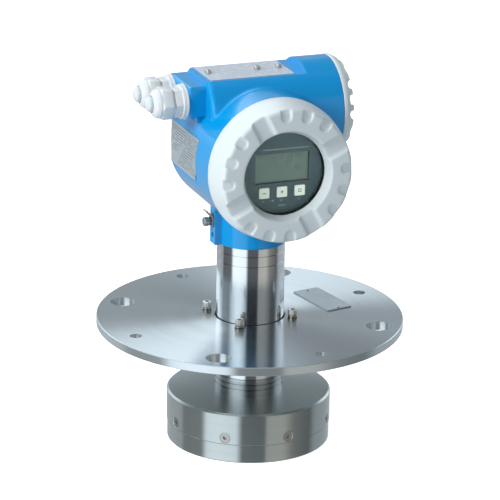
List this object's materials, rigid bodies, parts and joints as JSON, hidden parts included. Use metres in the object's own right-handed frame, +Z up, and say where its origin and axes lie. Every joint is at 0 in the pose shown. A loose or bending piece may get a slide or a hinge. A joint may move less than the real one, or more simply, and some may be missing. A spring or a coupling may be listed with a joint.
{
  "type": "radar level transmitter",
  "caption": "Radar level transmitter: blue two-compartment housing with a screen behind a screwed window cover, on a polished neck tube with a bolted flange plate and a drum antenna.",
  "frame": {"origin": "centre of the antenna's flat lower face, on the axis of the neck tube", "axes": "+Z up the neck tube towards the housing; the screen looks along -Y; the terminal cover is on +X and the cable glands are on -X"},
  "size_m": [0.28, 0.28, 0.3525],
  "materials": {
    "blue_paint": "semi-gloss powder coat on cast aluminium",
    "grey_paint": "satin powder coat on cast aluminium",
    "flange_steel": "face-turned stainless steel",
    "tube_steel": "mirror-polished stainless steel",
    "antenna_steel": "satin-turned stainless steel",
    "fastener_steel": "bright stainless steel",
    "tag_steel": "fine-brushed sheet",
    "plate_foil": "satin printed foil, left blank",
    "backing_metal": "machined",
    "feed_brass": "drawn",
    "window_plastic": "turned fluoropolymer",
    "board_green": "solder-masked board",
    "module_black": "moulded",
    "bezel_dark": "smooth moulded",
    "screen_grey": "liquid crystal screen, off",
    "key_white": "moulded",
    "gland_grey": "moulded polyamide",
    "plug_grey": "moulded polyamide",
    "seal_black": "moulded",
    "window_glass": "clear toughened glass"
  },
  "bodies": {
    "base": {"flange_plate": "flange_steel", "flange_tag": "tag_steel", "tag_rivets": "fastener_steel", "clamp_ring": "flange_steel", "clamp_seal": "seal_black", "flange_washers": "fastener_steel", "flange_spring_washers": "fastener_steel", "flange_screws": "fastener_steel", "neck_tube": "tube_steel", "antenna_housing": "antenna_steel", "antenna_base_ring": "antenna_steel", "antenna_window": "window_plastic", "patch_board": "board_green", "antenna_backing_plate": "backing_metal", "antenna_seal": "seal_black", "antenna_screws": "fastener_steel", "feed_line": "feed_brass"},
    "head": {"housing_casting": "blue_paint", "top_plate": "plate_foil", "top_plate_screws": "fastener_steel", "side_plate": "plate_foil", "earth_clip": "fastener_steel", "earth_washer": "fastener_steel", "earth_spring_washer": "fastener_steel", "earth_screw": "fastener_steel", "lock_screw": "fastener_steel", "display_bezel": "bezel_dark", "screen_panel": "screen_grey", "display_board": "board_green", "display_holder": "module_black", "key_domes": "seal_black", "electronics_module": "module_black", "terminal_block": "module_black", "terminal_screws": "fastener_steel", "front_gland_gasket": "plug_grey", "front_gland_body": "gland_grey", "rear_gland_gasket": "plug_grey", "rear_gland_body": "gland_grey"},
    "display_cover_travel": {"display_cover_seal": "seal_black"},
    "display_cover": {"display_cover": "grey_paint", "glass_gasket": "seal_black", "display_glass": "window_glass", "glass_ring": "backing_metal"},
    "terminal_cover_travel": {"terminal_cover_seal": "seal_black"},
    "terminal_cover": {"terminal_cover": "grey_paint"},
    "key_left": {"key_left": "key_white"},
    "key_middle": {"key_middle": "key_white"},
    "key_right": {"key_right": "key_white"},
    "front_gland_insert": {"front_gland_insert": "seal_black", "front_gland_plug": "plug_grey"},
    "front_gland_nut": {"front_gland_nut": "gland_grey"},
    "rear_gland_insert": {"rear_gland_insert": "seal_black", "rear_gland_plug": "plug_grey"},
    "rear_gland_nut": {"rear_gland_nut": "gland_grey"}
  },
  "joints": [
    {"name": "housing_turn", "type": "hinge", "parent": "base", "child": "head", "pos_m": [0, 0, 0.2], "axis": [0, 0, 1], "range_deg": [-175, 175]},
    {"name": "display_cover_travel", "type": "slide", "parent": "head", "child": "display_cover_travel", "axis": [0, -1, 0], "range_m": [0, 0.0083]},
    {"name": "display_cover_turn", "type": "hinge", "parent": "display_cover_travel", "child": "display_cover", "pos_m": [0, -0.0575, 0.274], "axis": [0, -1, 0], "range_deg": [0, 1980]},
    {"name": "terminal_cover_travel", "type": "slide", "parent": "head", "child": "terminal_cover_travel", "axis": [1, 0, 0], "range_m": [0, 0.0098]},
    {"name": "terminal_cover_turn", "type": "hinge", "parent": "terminal_cover_travel", "child": "terminal_cover", "pos_m": [0.0754, 0.012, 0.308], "axis": [1, 0, 0], "range_deg": [0, 2340]},
    {"name": "front_gland_nut_travel", "type": "slide", "parent": "head", "child": "front_gland_insert", "axis": [-1, 0, 0], "range_m": [0, 0.0045]},
    {"name": "front_gland_nut_turn", "type": "hinge", "parent": "front_gland_insert", "child": "front_gland_nut", "pos_m": [-0.081, 0.0007, 0.3242], "axis": [-1, 0, 0], "range_deg": [0, 1085]},
    {"name": "rear_gland_nut_travel", "type": "slide", "parent": "head", "child": "rear_gland_insert", "axis": [-1, 0, 0], "range_m": [0, 0.0045]},
    {"name": "rear_gland_nut_turn", "type": "hinge", "parent": "rear_gland_insert", "child": "rear_gland_nut", "pos_m": [-0.081, 0.0337, 0.3242], "axis": [-1, 0, 0], "range_deg": [0, 1085]},
    {"name": "left_key_press", "type": "slide", "parent": "head", "child": "key_left", "axis": [0, 1, 0], "range_m": [0, 0.0005], "stiffness_N_per_m": 2000, "springref_m": -0.0002},
    {"name": "middle_key_press", "type": "slide", "parent": "head", "child": "key_middle", "axis": [0, 1, 0], "range_m": [0, 0.0005], "stiffness_N_per_m": 2000, "springref_m": -0.0002},
    {"name": "right_key_press", "type": "slide", "parent": "head", "child": "key_right", "axis": [0, 1, 0], "range_m": [0, 0.0005], "stiffness_N_per_m": 2000, "springref_m": -0.0002}
  ],
  "couplings": [
    {"joint": "display_cover_travel", "follows": "display_cover_turn", "m_per_rad": 0.00023873},
    {"joint": "terminal_cover_travel", "follows": "terminal_cover_turn", "m_per_rad": 0.00023873},
    {"joint": "front_gland_nut_turn", "follows": "front_gland_nut_travel", "rad_per_m": 4188.8},
    {"joint": "rear_gland_nut_turn", "follows": "rear_gland_nut_travel", "rad_per_m": 4188.8}
  ]
}
